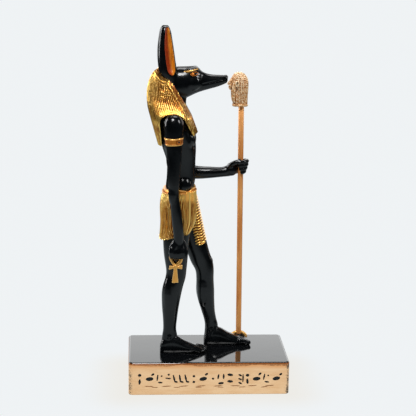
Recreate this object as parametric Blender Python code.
"""A jackal-headed figurine that strides along a plinth with a staff and an ankh.

Metres, +Z up. The origin is the centre of the plinth's underside. The figure faces +X, its left
side is at +Y and its right side, with the ankh, is at -Y.

The figure is one casting: lofted forms that are united with Boolean modifiers. Its forms are drawn
in shares of its own height, so that FIGURE_HEIGHT alone sets its size.
"""

import math
from collections import namedtuple

import bmesh
import bpy
from mathutils import Matrix, Vector

# Driving sizes
PLINTH_LENGTH = 0.086
PLINTH_WIDTH = 0.048
PLINTH_HEIGHT = 0.018
PLINTH_CORNER = 0.0024
PLINTH_LIP = 0.0009
PLINTH_FOOT_EDGE = 0.0004

STROKE_DEPTH = 0.0004
STROKE_BAND = 0.0062
STROKE_BAND_CENTRE = 0.0088
STROKE_END_MARGIN = 0.0050
STROKE_GROUPS = 17

FIGURE_HEIGHT = 0.1756
SOLE_GAP = 0.0003

ROD_DIAMETER = 0.003
ROD_FIT = 0.0003
STAFF_LEAN = math.radians(0.4)
BOSS_RADIUS = 0.0037
BOSS_SOCKET_DEPTH = 0.0012
FORK_TUBE = 0.0014

FINIAL_HEIGHT = 0.0184
FINIAL_BASE = 0.1320
FINIAL_SOCKET_DEPTH = 0.0030

# The rod ends at the bottom of the finial's socket.
ROD_TOP = FINIAL_BASE + FINIAL_SOCKET_DEPTH

# The figure's forms are drawn in these shares of its height, about a millimetre each.
FORM = FIGURE_HEIGHT / 175.6
SOLE_Z = PLINTH_HEIGHT + SOLE_GAP
FIGURE_Y = 0.0015

# One slice across a form: its back and front edge as seen from the side, then its middle and
# half width across the figure. For a form that lies along X the two edges are top and bottom.
Slice = namedtuple("Slice", "back_x back_z front_x front_z mid_y half_y")

HAND_CENTRE = (17.9, 13.9, 98.4)
FINIAL_SHARE = FINIAL_HEIGHT / 18.4


def figure_point(x, y, z):
    """The place of a point of the figure's forms."""
    return Vector((x * FORM, FIGURE_Y + y * FORM, SOLE_Z + z * FORM))


def level(z, back, front, half_y, mid_y=0.0):
    """A slice at one height, from the back edge to the front edge."""
    return Slice(back, z, front, z, mid_y, half_y)


def upright(x, top, bottom, half_y, mid_y=0.0):
    """A slice at one place along X, from the top edge to the bottom edge."""
    return Slice(x, top, x, bottom, mid_y, half_y)


def start_scene():
    """Remove what a new scene holds and make the two collections."""
    for thing in list(bpy.data.objects):
        bpy.data.objects.remove(thing, do_unlink=True)
    collections = {}
    for name in ("anubis_statue", "cutters"):
        collections[name] = bpy.data.collections.new(name)
        bpy.context.scene.collection.children.link(collections[name])
    return collections


COLLECTIONS = start_scene()


def plain_material(name, colour, roughness, metallic=0.0):
    """A Principled material with one colour."""
    material = bpy.data.materials.new(name)
    material.use_nodes = True
    shader = material.node_tree.nodes["Principled BSDF"]
    shader.inputs["Base Color"].default_value = (*colour, 1.0)
    shader.inputs["Roughness"].default_value = roughness
    shader.inputs["Metallic"].default_value = metallic
    return material


def new_object(name, mesh_builder, is_tool=True):
    """Make an object from a bmesh. A tool is only there to be united or cut."""
    mesh = bpy.data.meshes.new(name)
    mesh_builder.normal_update()
    bmesh.ops.recalc_face_normals(mesh_builder, faces=mesh_builder.faces)
    mesh_builder.to_mesh(mesh)
    mesh_builder.free()
    made = bpy.data.objects.new(name, mesh)
    COLLECTIONS["cutters" if is_tool else "anubis_statue"].objects.link(made)
    if is_tool:
        made.hide_render = True
        made.display_type = "WIRE"
    return made


def boolean(target, tool, operation, solver="EXACT"):
    """Unite a tool with the target, or cut it out."""
    modifier = target.modifiers.new(tool.name, "BOOLEAN")
    modifier.operation = operation
    modifier.solver = solver
    modifier.object = tool


def ring_points(one, place, sides, power, ribs=0, rib_depth=0.0):
    """The points round one slice, on a rounded box of the given power, with ribs if asked."""
    back = Vector((one.back_x, one.mid_y, one.back_z))
    front = Vector((one.front_x, one.mid_y, one.front_z))
    middle = (back + front) / 2
    points = []
    for side in range(sides):
        angle = math.tau * (side + 0.5) / sides
        along = math.copysign(abs(math.cos(angle)) ** (2 / power), math.cos(angle))
        across = math.copysign(abs(math.sin(angle)) ** (2 / power), math.sin(angle))
        swell = 1 + rib_depth * math.cos(ribs * math.tau * side / sides)
        spot = middle + ((front - middle) * along + Vector((0, one.half_y * across, 0))) * swell
        points.append(place(*spot))
    return points


def loft(name, slices, sides=16, power=2.2, ribs=0, rib_depth=0.0, place=figure_point):
    """A closed form through the slices."""
    builder = bmesh.new()
    rings = []
    for one in slices:
        points = ring_points(one, place, sides, power, ribs, rib_depth)
        rings.append([builder.verts.new(point) for point in points])
    for low, high in zip(rings, rings[1:]):
        for side in range(sides):
            after = (side + 1) % sides
            builder.faces.new((low[side], low[after], high[after], high[side]))
    builder.faces.new(rings[0])
    builder.faces.new(rings[-1])
    return new_object(name, builder)


def prism(name, outline, near_y, far_y, place=figure_point):
    """A flat outline of (x, z) points, run across the figure from near_y to far_y."""
    builder = bmesh.new()
    near = [builder.verts.new(place(x, near_y, z)) for x, z in outline]
    far = [builder.verts.new(place(x, far_y, z)) for x, z in outline]
    builder.faces.new(near)
    builder.faces.new(far)
    for index in range(len(outline)):
        after = (index + 1) % len(outline)
        builder.faces.new((near[index], near[after], far[after], far[index]))
    return new_object(name, builder)


def ball(name, centre, radii, segments=12, rings=8, place=figure_point):
    """An ellipsoid."""
    builder = bmesh.new()
    bmesh.ops.create_uvsphere(builder, u_segments=segments, v_segments=rings, radius=1.0)
    for vertex in builder.verts:
        spot = [middle + radius * value for middle, radius, value in zip(centre, radii, vertex.co)]
        vertex.co = place(*spot)
    return new_object(name, builder)


def cylinder(name, start, end, radius, segments=16, is_tool=True):
    """A round bar between two points in space."""
    builder = bmesh.new()
    axis = end - start
    turn = axis.to_track_quat("Z", "Y").to_matrix().to_4x4()
    bmesh.ops.create_cone(builder, cap_ends=True, segments=segments, radius1=radius,
                          radius2=radius, depth=axis.length,
                          matrix=Matrix.Translation((start + end) / 2) @ turn)
    return new_object(name, builder, is_tool)


def tube_arc(name, centre, radius, start, end, tube, segments=10, sides=8):
    """A bent tube in the side plane, from one angle to another, measured from +X towards +Z."""
    builder = bmesh.new()
    rings = []
    for step in range(segments + 1):
        angle = start + (end - start) * step / segments
        outward = Vector((math.cos(angle), 0, math.sin(angle)))
        ring = []
        for side in range(sides):
            turn = math.tau * side / sides
            spot = centre + outward * (radius + tube * math.cos(turn))
            ring.append(builder.verts.new(spot + Vector((0, tube * math.sin(turn), 0))))
        rings.append(ring)
    for low, high in zip(rings, rings[1:]):
        for side in range(sides):
            after = (side + 1) % sides
            builder.faces.new((low[side], low[after], high[after], high[side]))
    builder.faces.new(rings[0])
    builder.faces.new(rings[-1])
    return new_object(name, builder)


# The staff stands on its own axis, which runs through the middle of the left hand.

HAND = figure_point(*HAND_CENTRE)
STAFF_UP = Vector((-math.sin(STAFF_LEAN), 0, math.cos(STAFF_LEAN)))
STAFF_FOOT = HAND - STAFF_UP * ((HAND.z - PLINTH_HEIGHT) / STAFF_UP.z)


def staff_point(height):
    """The point of the staff's axis at a height over the plinth's top."""
    return STAFF_FOOT + STAFF_UP * height


def finial_point(x, y, z):
    """The place of a point of the finial's forms, about a millimetre a unit."""
    share = FINIAL_SHARE
    return staff_point(FINIAL_BASE + z * share) + Vector((x * share, y * share, 0))


# Plinth

def stroke_boxes(index, middle):
    """The bars of one group of strokes, as (x, z, width, height, turn), in shares of the band."""
    kinds = (
        ((0, 0.34, 0.26, 0.26, 45), (0, -0.22, 0.16, 0.50, 0)),
        ((0, -0.10, 0.60, 0.26, 8), (0.34, 0.34, 0.22, 0.22, 45)),
        ((-0.16, 0.05, 0.14, 0.72, 12), (0.20, 0.10, 0.14, 0.50, -12)),
        ((0, -0.05, 0.62, 0.13, 0), (0.05, 0.30, 0.18, 0.18, 45)),
        ((0, 0.26, 0.20, 0.20, 45), (0, -0.30, 0.34, 0.15, 0)),
    )
    step = (index * 3 + index // 5) % len(kinds)
    for x, z, width, height, turn in kinds[step]:
        yield (middle + x * STROKE_BAND, STROKE_BAND_CENTRE + z * STROKE_BAND,
               width * STROKE_BAND, height * STROKE_BAND, math.radians(turn))


def cut_strokes():
    """One tool that holds every stroke of the row on the plinth's front."""
    builder = bmesh.new()
    run = PLINTH_LENGTH - 2 * STROKE_END_MARGIN
    for index in range(STROKE_GROUPS):
        middle = -run / 2 + run * (index + 0.5) / STROKE_GROUPS
        for x, z, width, height, turn in stroke_boxes(index, middle):
            place = Matrix.Translation((x, -PLINTH_WIDTH / 2, z)) @ Matrix.Rotation(turn, 4, "Y")
            size = Matrix.Diagonal((width, 2 * STROKE_DEPTH, height, 1))
            bmesh.ops.create_cube(builder, size=1.0, matrix=place @ size)
    return new_object("strokes", builder)


def build_plinth():
    """The slab with its rounded edges, the stroke row, and the boss that the staff stands in."""
    builder = bmesh.new()
    size = Matrix.Diagonal((PLINTH_LENGTH, PLINTH_WIDTH, PLINTH_HEIGHT, 1))
    middle = Matrix.Translation((0, 0, PLINTH_HEIGHT / 2))
    bmesh.ops.create_cube(builder, size=1.0, matrix=middle @ size)
    corners = [edge for edge in builder.edges
               if abs(edge.verts[0].co.z - edge.verts[1].co.z) > PLINTH_HEIGHT / 2]
    bmesh.ops.bevel(builder, geom=corners, offset=PLINTH_CORNER, segments=4, profile=0.5,
                    affect="EDGES")
    for height, offset in ((PLINTH_HEIGHT, PLINTH_LIP), (0.0, PLINTH_FOOT_EDGE)):
        rim = [edge for edge in builder.edges
               if all(abs(vertex.co.z - height) < PLINTH_FOOT_EDGE / 10 for vertex in edge.verts)]
        bmesh.ops.bevel(builder, geom=rim, offset=offset, segments=3, profile=0.5,
                        affect="EDGES")
    plinth = new_object("plinth", builder, is_tool=False)
    boolean(plinth, cut_strokes(), "DIFFERENCE")

    boss_middle = staff_point(0)
    builder = bmesh.new()
    bmesh.ops.create_uvsphere(builder, u_segments=16, v_segments=8, radius=BOSS_RADIUS,
                              matrix=Matrix.Translation(boss_middle))
    boolean(plinth, new_object("boss", builder), "UNION")
    fork_reach = math.radians(14)
    fork = tube_arc("fork", boss_middle, BOSS_RADIUS, fork_reach, math.pi - fork_reach,
                    FORK_TUBE / 2)
    boolean(plinth, fork, "UNION")
    prong = BOSS_RADIUS * 0.62
    fork_end = boss_middle + Vector((-BOSS_RADIUS - prong / 2, 0, prong))
    fork_root = boss_middle + Vector((-BOSS_RADIUS * 0.72, 0, BOSS_RADIUS * 0.75))
    boolean(plinth, cylinder("fork_prong", fork_root, fork_end, FORK_TUBE / 2, 8), "UNION")
    socket_floor = BOSS_RADIUS + FORK_TUBE / 2 - BOSS_SOCKET_DEPTH
    socket = cylinder("boss_socket", staff_point(socket_floor), staff_point(3 * BOSS_RADIUS),
                      ROD_DIAMETER / 2 + ROD_FIT)
    boolean(plinth, socket, "DIFFERENCE")
    plinth.data.materials.append(plain_material("plinth_gold", (0.75, 0.48, 0.26), 0.35, 0.6))
    return socket_floor


# Figure: the body

def body():
    """Trunk and neck."""
    return loft("torso", [
        level(84, -24.0, -6.6, 10.0),
        level(90, -23.6, -6.6, 9.8),
        level(96, -22.7, -7.2, 9.2),
        level(104, -22.8, -7.3, 10.4),
        level(112, -24.6, -6.7, 12.4),
        level(118, -25.8, -7.0, 14.0),
        level(124, -26.0, -8.4, 14.6),
        level(129, -25.6, -10.8, 12.0),
        level(133, -25.0, -12.6, 7.2),
        level(139, -24.0, -12.4, 5.6),
        level(144, -24.0, -10.0, 5.4),
    ], sides=20, power=2.4)


def head():
    """The jackal's head, from the back of the skull to the nose."""
    return loft("head", [
        upright(-25.5, 151.0, 143.0, 4.0),
        upright(-23.0, 153.5, 139.5, 6.0),
        upright(-18.0, 154.4, 137.2, 7.0),
        upright(-13.0, 154.6, 138.0, 7.2),
        upright(-9.0, 154.7, 139.8, 6.5),
        upright(-6.0, 154.2, 141.0, 5.6),
        upright(-3.6, 151.8, 141.9, 4.8),
        upright(-0.5, 150.4, 142.9, 3.9),
        upright(4.0, 150.1, 144.5, 3.1),
        upright(7.8, 149.9, 146.4, 2.5),
        upright(9.2, 149.2, 147.4, 1.7),
    ], sides=16, power=2.3)


def ear():
    """The right ear with the hollow that opens forwards and outwards."""
    ear_form = loft("ear", [
        level(146.0, -25.5, -17.5, 3.4, -4.0),
        level(152.0, -27.2, -17.4, 4.1, -4.6),
        level(158.0, -27.9, -18.2, 4.2, -4.9),
        level(164.2, -27.9, -19.2, 3.8, -5.0),
        level(169.8, -27.2, -20.2, 3.1, -4.9),
        level(173.6, -26.4, -21.0, 2.3, -4.8),
        level(175.6, -25.2, -22.2, 1.3, -4.7),
    ], sides=16, power=2.0)
    hollow = loft("ear_hollow", [
        level(150.6, -20.6, -19.2, 0.8, -9.0),
        level(152.6, -22.2, -17.8, 2.2, -8.4),
        level(158.0, -23.7, -17.6, 2.9, -8.2),
        level(164.0, -23.9, -18.4, 2.6, -8.2),
        level(169.5, -23.5, -19.6, 2.0, -7.7),
        level(174.8, -22.8, -21.4, 0.8, -6.6),
    ], sides=12, power=2.0)
    boolean(ear_form, hollow, "DIFFERENCE")
    return ear_form


def other_side(tool, name):
    """A copy of a tool on the figure's left side, with its own cuts."""
    builder = bmesh.new()
    builder.from_mesh(tool.data)
    for vertex in builder.verts:
        vertex.co.y = 2 * FIGURE_Y - vertex.co.y
    copy = new_object(name, builder)
    for modifier in tool.modifiers:
        boolean(copy, other_side(modifier.object, modifier.object.name + "_left"),
                modifier.operation)
    return copy


def headdress():
    """The ribbed headdress, cut in an arch round each shoulder and open under the chin."""
    cloth = loft("headdress", [
        level(155.6, -27.5, -21.5, 3.5),
        Slice(-29.6, 153.0, -18.8, 151.5, 0, 7.6),
        Slice(-31.6, 149.5, -17.0, 146.5, 0, 9.2),
        Slice(-33.0, 144.5, -15.0, 141.5, 0, 10.8),
        Slice(-33.4, 139.0, -12.6, 136.5, 0, 12.6),
        Slice(-33.0, 133.5, -9.6, 132.0, 0, 15.2),
        level(128, -31.6, -7.8, 17.4),
        level(123, -30.2, -6.0, 16.4),
        level(118, -28.8, -5.8, 14.6),
        level(112.6, -27.4, -5.6, 12.4),
    ], sides=56, power=2.1, ribs=28, rib_depth=0.012)
    front_edge = [(-21.8, 149.0), (-21.0, 147.7), (-17.4, 141.5), (-13.2, 134.7), (-9.4, 127.9),
                  (-6.7, 121.1), (-6.0, 117.0), (5.0, 117.0), (5.0, 149.0)]
    boolean(cloth, prism("open_throat", front_edge, -30, 30), "DIFFERENCE")
    arch = [(-25.8, 100), (-25.9, 122)]
    arch_middle = (-17.4, 122.8)
    for step in range(7):
        angle = math.radians(180 - 25 * step)
        arch.append((arch_middle[0] + 8.6 * math.cos(angle), arch_middle[1] + 10 * math.sin(angle)))
    arch += [(-8.2, 119.9), (-3.0, 121.9), (-3.0, 100)]
    boolean(cloth, prism("shoulder_arch", arch, -30, 30), "DIFFERENCE")
    chin_gap = prism("chin_gap", [(-14.6, 100), (-14.6, 136), (-8, 145), (0, 145), (0, 100)],
                     -3.6, 3.6)
    boolean(cloth, chin_gap, "DIFFERENCE")
    return cloth


def right_arm():
    """The arm that hangs with the ankh, down to the wrist."""
    return loft("right_arm", [
        level(132.0, -21.6, -18.6, 1.6, -16.6),
        level(130.6, -24.2, -16.2, 3.8, -16.8),
        level(126.6, -25.8, -14.5, 5.0, -17.0),
        level(120.4, -25.0, -14.3, 5.0, -17.2),
        level(115.4, -23.6, -14.4, 4.5, -17.4),
        level(109.8, -23.1, -15.5, 4.1, -17.5),
        level(97.6, -22.8, -16.3, 3.7, -17.4),
        level(88.5, -21.6, -16.5, 3.4, -16.8),
        level(78.0, -20.2, -15.0, 3.0, -15.8),
        level(70.5, -19.1, -14.4, 2.5, -14.8),
        level(62.0, -20.0, -14.6, 2.4, -14.4),
    ], sides=14, power=2.1)


def left_upper_arm():
    """The upper arm that hangs behind the trunk in the side view."""
    return loft("left_upper_arm", [
        level(132.0, -21.6, -18.6, 1.6, 16.3),
        level(130.6, -24.2, -16.2, 3.8, 16.5),
        level(126.6, -25.8, -14.5, 5.0, 16.7),
        level(120.4, -25.0, -14.3, 5.0, 16.8),
        level(109.8, -23.1, -15.5, 4.1, 16.8),
        level(99.0, -22.4, -16.2, 3.6, 16.7),
        level(94.6, -20.6, -17.6, 2.4, 16.6),
    ], sides=14, power=2.1)


def left_forearm():
    """The forearm that reaches forward to the staff."""
    return loft("left_forearm", [
        upright(-22.0, 100.2, 95.0, 2.4, 17.0),
        upright(-16.0, 100.4, 92.4, 3.6, 16.6),
        upright(-5.8, 98.8, 92.4, 3.2, 15.8),
        upright(1.3, 98.6, 92.9, 2.8, 15.0),
        upright(8.4, 98.4, 93.7, 2.3, 14.4),
        Slice(12.4, 101.0, 12.0, 93.8, 14.6, 3.0),
        Slice(16.0, 102.4, 15.6, 94.0, 15.6, 3.0),
    ], sides=14, power=2.1)


def left_fingers():
    """Four fingers curled round the staff, one over the other, rising a little forwards."""
    fingers = []
    for index in range(4):
        centre_z = 95.6 + 2.3 * index
        rise = 0.7
        fingers.append(loft(f"finger_{index}", [
            Slice(15.4, centre_z - 1.2 - rise, 21.0, centre_z - 1.2, 13.6, 2.2),
            Slice(14.0, centre_z - 0.6 - rise, 22.2, centre_z - 0.5, 13.6, 3.5),
            Slice(14.0, centre_z + 0.6 - rise, 22.4, centre_z + 0.7, 13.6, 3.5),
            Slice(15.4, centre_z + 1.2 - rise, 21.0, centre_z + 1.4, 13.6, 2.2),
        ], sides=12, power=2.0))
    return fingers


def right_fist():
    """The fist that holds the ankh, with its four curled fingers."""
    palm = loft("right_fist", [
        level(66.5, -19.8, -14.4, 2.4, -14.4),
        level(64.0, -20.8, -13.6, 3.0, -14.4),
        level(60.0, -22.2, -13.3, 3.4, -14.4),
        level(57.0, -22.1, -13.5, 3.2, -14.4),
        level(55.4, -20.8, -14.8, 2.0, -14.4),
    ], sides=14, power=2.5)
    fingers = []
    for index in range(4):
        middle_x = -20.7 + 2.0 * index
        fingers.append(loft(f"fist_finger_{index}", [
            level(60.4, middle_x - 0.7, middle_x + 0.7, 1.0, -17.2),
            level(58.8, middle_x - 1.1, middle_x + 1.1, 1.6, -17.0),
            level(56.0, middle_x - 1.1, middle_x + 1.1, 1.8, -16.4),
            level(54.8, middle_x - 0.7, middle_x + 0.7, 1.2, -15.8),
        ], sides=8, power=2.0))
    return [palm] + fingers


def armlet(name, middle_y):
    """The band round an upper arm, a little higher in front."""
    return loft(name, [
        Slice(-24.5, 115.4, -13.9, 115.8, middle_y, 4.9),
        Slice(-24.8, 116.2, -13.7, 116.6, middle_y, 5.2),
        Slice(-25.2, 118.6, -13.6, 119.2, middle_y, 5.4),
        Slice(-25.1, 119.2, -13.8, 119.8, middle_y, 5.2),
    ], sides=16, power=2.1)


# Figure: belt and kilt

def belt():
    """The belt, with a dip at the middle of its front."""
    return loft("belt", [
        level(87.6, -24.8, -5.9, 11.0),
        level(88.2, -25.1, -5.7, 11.3),
        level(90.4, -24.9, -5.8, 11.1),
        level(91.0, -24.5, -6.0, 10.8),
    ], sides=20, power=2.4)


def kilt():
    """The pleated kilt over both hips, with its flared hem."""
    return loft("kilt", [
        level(88.4, -24.6, -6.3, 10.8),
        level(84.0, -25.9, -6.1, 11.8),
        level(79.6, -26.4, -5.2, 12.3),
        level(75.2, -26.2, -4.6, 12.5),
        level(69.0, -25.9, -5.0, 12.6),
        level(63.8, -26.2, -9.6, 12.6),
        level(62.8, -26.1, -10.0, 12.4),
    ], sides=56, power=2.5, ribs=28, rib_depth=0.022)


def apron():
    """The pleated panel that hangs from the belt in front."""
    sheet = []
    for z, back, front, half_y in ((89.0, -14.6, -6.0, 8.2), (80.0, -14.4, -5.2, 9.0),
                                   (72.0, -14.2, -6.0, 9.2), (67.0, -14.0, -8.8, 8.8),
                                   (64.4, -13.6, -10.2, 7.4)):
        sheet.append(level(z, back, front, half_y, -2.8))
    return loft("apron", sheet, sides=32, power=3.0, ribs=16, rib_depth=0.014)


def thigh_wrap():
    """The ribbed cloth round the forward thigh, with its slanting hem."""
    wrap = []
    count = 14
    for index in range(count + 1):
        share = index / count
        swell = 0.26 * (1 if index % 2 else -1)
        lean = 0.30
        back_x = -15.0 + 9.8 * share
        front_x = -6.0 + 5.6 * share + swell
        top = 84.0 - 24.8 * share
        wrap.append(Slice(back_x - swell, top - lean * (front_x - back_x) * share, front_x,
                          top, 7.2, 5.9 - 0.3 * share + swell))
    return loft("thigh_wrap", wrap, sides=20, power=2.2)


# Figure: legs, feet and ankh

def right_leg():
    """The leg behind, which the figure stands on."""
    return loft("right_leg", [
        level(76.0, -24.6, -9.0, 5.6, -6.0),
        level(62.0, -24.6, -10.6, 5.6, -6.3),
        level(54.0, -24.1, -11.2, 5.3, -6.4),
        level(45.8, -22.9, -11.9, 4.7, -6.5),
        level(41.4, -23.3, -12.4, 4.6, -6.5),
        level(36.9, -24.6, -13.6, 4.9, -6.5),
        level(32.4, -25.2, -14.6, 4.9, -6.5),
        level(25.0, -25.0, -15.9, 4.3, -6.5),
        level(18.9, -24.5, -16.7, 3.6, -6.5),
        level(13.0, -24.3, -17.2, 3.2, -6.5),
        level(9.0, -24.8, -16.6, 3.3, -6.5),
        level(5.0, -25.4, -16.0, 3.4, -6.5),
    ], sides=16, power=2.1)


def left_leg():
    """The leg in front, which slants forward."""
    return loft("left_leg", [
        level(74.0, -21.0, -5.0, 5.4, 6.4),
        level(64.0, -17.4, -2.0, 5.4, 6.8),
        level(53.0, -11.6, 0.9, 5.2, 7.0),
        level(46.5, -8.9, 3.1, 4.9, 7.2),
        level(41.9, -6.5, 3.7, 4.7, 7.2),
        level(37.0, -5.9, 3.7, 4.7, 7.2),
        level(30.5, -5.9, 4.1, 4.7, 7.2),
        level(25.9, -5.1, 4.2, 4.3, 7.2),
        level(19.0, -3.0, 4.6, 3.7, 7.2),
        level(14.3, -1.5, 5.4, 3.3, 7.2),
        level(10.0, -0.8, 6.4, 3.3, 7.2),
        level(5.0, -1.2, 5.4, 3.3, 7.2),
    ], sides=16, power=2.1)


def foot(name, heel_x, middle_y, toe_shift):
    """A bare foot from heel to toes. The sole is cut flat afterwards."""
    profile = ((0.0, 4.0, 1.8), (1.6, 7.2, 3.0), (5.4, 9.4, 3.5), (9.2, 8.8, 3.6),
               (13.4, 6.5, 3.9), (19.6, 4.0, 4.1), (23.8, 2.6, 3.8), (26.0, 1.4, 2.8))
    slices = []
    for forward, top, half_y in profile:
        shift = toe_shift * forward / profile[-1][0]
        slices.append(upright(heel_x + forward, top, -0.22 * top, half_y, middle_y + shift))
    return loft(name, slices, sides=14, power=2.4)


def ankh():
    """The looped cross that hangs from the fist against the thigh."""
    near_y, far_y = -14.0, -11.4
    tools = [prism("ankh_bar", [(-21.5, 47.6), (-21.5, 50.0), (-14.5, 50.0), (-14.5, 47.6)],
                   near_y, far_y),
             prism("ankh_stem", [(-19.2, 48.6), (-17.2, 48.6), (-16.5, 40.5), (-20.0, 40.5)],
                   near_y, far_y)]
    loop_outer, loop_inner = [], []
    for step in range(9):
        angle = math.radians(-115 + 230 * step / 8 + 90)
        loop_outer.append((-18.1 + 3.6 * math.cos(angle), 53.6 + 4.6 * math.sin(angle)))
        loop_inner.append((-18.1 + 2.3 * math.cos(angle), 53.9 + 3.2 * math.sin(angle)))
    tools.append(prism("ankh_loop", loop_outer + loop_inner[::-1], near_y, far_y))
    tools.append(prism("ankh_knot", [(-19.6, 49.0), (-19.8, 51.2), (-16.4, 51.2), (-16.6, 49.0)],
                       near_y, far_y))
    return tools


def build_figure():
    """Unite every form of the casting, cut its soles flat and bore the left hand."""
    figure = loft("figure", [
        level(88.0, -23.6, -6.8, 9.6),
        level(92.0, -23.0, -7.0, 9.4),
    ], sides=20, power=2.4)
    COLLECTIONS["cutters"].objects.unlink(figure)
    COLLECTIONS["anubis_statue"].objects.link(figure)
    figure.hide_render = False
    figure.display_type = "TEXTURED"

    near_ear = ear()
    forms = [body(), head(), near_ear, other_side(near_ear, "ear_left"), headdress(),
             right_arm(), left_upper_arm(), left_forearm(), belt(), kilt(), apron(),
             thigh_wrap(), right_leg(), left_leg(),
             armlet("armlet_right", -17.1), armlet("armlet_left", 16.8),
             foot("right_foot", -26.0, -6.8, -0.4), foot("left_foot", -1.4, 7.2, -0.9)]
    forms += right_fist() + left_fingers() + ankh()
    # The exact solver loses the body in a union of this many closed forms.
    for form in forms:
        boolean(figure, form, "UNION", "MANIFOLD")

    under_soles = prism("under_soles", [(-40, -20), (-40, 0), (40, 0), (40, -20)], -40, 40)
    boolean(figure, under_soles, "DIFFERENCE", "MANIFOLD")
    reach = STAFF_UP * 12 * FORM
    bore = cylinder("hand_bore", HAND - reach, HAND + reach, ROD_DIAMETER / 2 + ROD_FIT)
    boolean(figure, bore, "DIFFERENCE", "MANIFOLD")
    figure.data.materials.append(plain_material("gloss_black", (0.012, 0.013, 0.015), 0.16))


# Staff

def build_staff(socket_floor):
    """The rod from the boss's socket to the finial, and the carved finial on its end."""
    rod = cylinder("staff_rod", staff_point(socket_floor + ROD_FIT), staff_point(ROD_TOP),
                   ROD_DIAMETER / 2, 20, is_tool=False)
    rod.data.materials.append(plain_material("copper_paint", (0.62, 0.30, 0.12), 0.35, 0.5))

    finial = loft("staff_finial", [
        level(0.0, -4.5, 4.0, 3.7),
        level(0.9, -4.7, 4.2, 3.9),
        level(2.2, -4.5, 3.9, 3.7),
        level(6.0, -4.7, 3.8, 3.8),
        level(8.2, -5.2, 3.8, 4.0),
        level(10.0, -5.9, 3.8, 4.3),
        level(12.0, -6.3, 3.8, 4.6),
        level(14.4, -6.6, 3.6, 4.6),
        level(16.4, -6.0, 2.9, 4.0),
        level(17.8, -4.6, 1.4, 2.6),
        level(18.4, -3.0, -0.4, 1.2),
    ], sides=20, power=2.3, place=finial_point)
    COLLECTIONS["cutters"].objects.unlink(finial)
    COLLECTIONS["anubis_statue"].objects.link(finial)
    finial.hide_render = False
    finial.display_type = "TEXTURED"
    nose = loft("finial_nose", [
        level(10.9, -6.9, -5.4, 0.7),
        level(11.5, -7.2, -5.6, 0.8),
        level(13.4, -6.8, -5.8, 0.4),
    ], sides=8, place=finial_point)
    boolean(finial, nose, "UNION")
    for side, label in ((-1, "right"), (1, "left")):
        lock = loft(f"finial_lock_{label}", [
            level(3.0, -4.2, -1.4, 0.9, side * 3.6),
            level(7.0, -4.4, -1.2, 1.0, side * 4.0),
            level(11.5, -4.2, -1.4, 0.9, side * 4.6),
        ], sides=8, place=finial_point)
        boolean(finial, lock, "UNION")
        hearing = ball(f"finial_ear_{label}", (-2.4, side * 4.5, 12.6), (1.0, 0.8, 1.4), 8, 6,
                       place=finial_point)
        boolean(finial, hearing, "UNION")
    socket = cylinder("finial_socket", staff_point(FINIAL_BASE - FINIAL_SOCKET_DEPTH),
                      staff_point(ROD_TOP + ROD_FIT), ROD_DIAMETER / 2 + ROD_FIT)
    boolean(finial, socket, "DIFFERENCE")
    finial.data.materials.append(plain_material("cream_gold", (0.72, 0.55, 0.36), 0.45, 0.2))


build_staff(build_plinth())
build_figure()
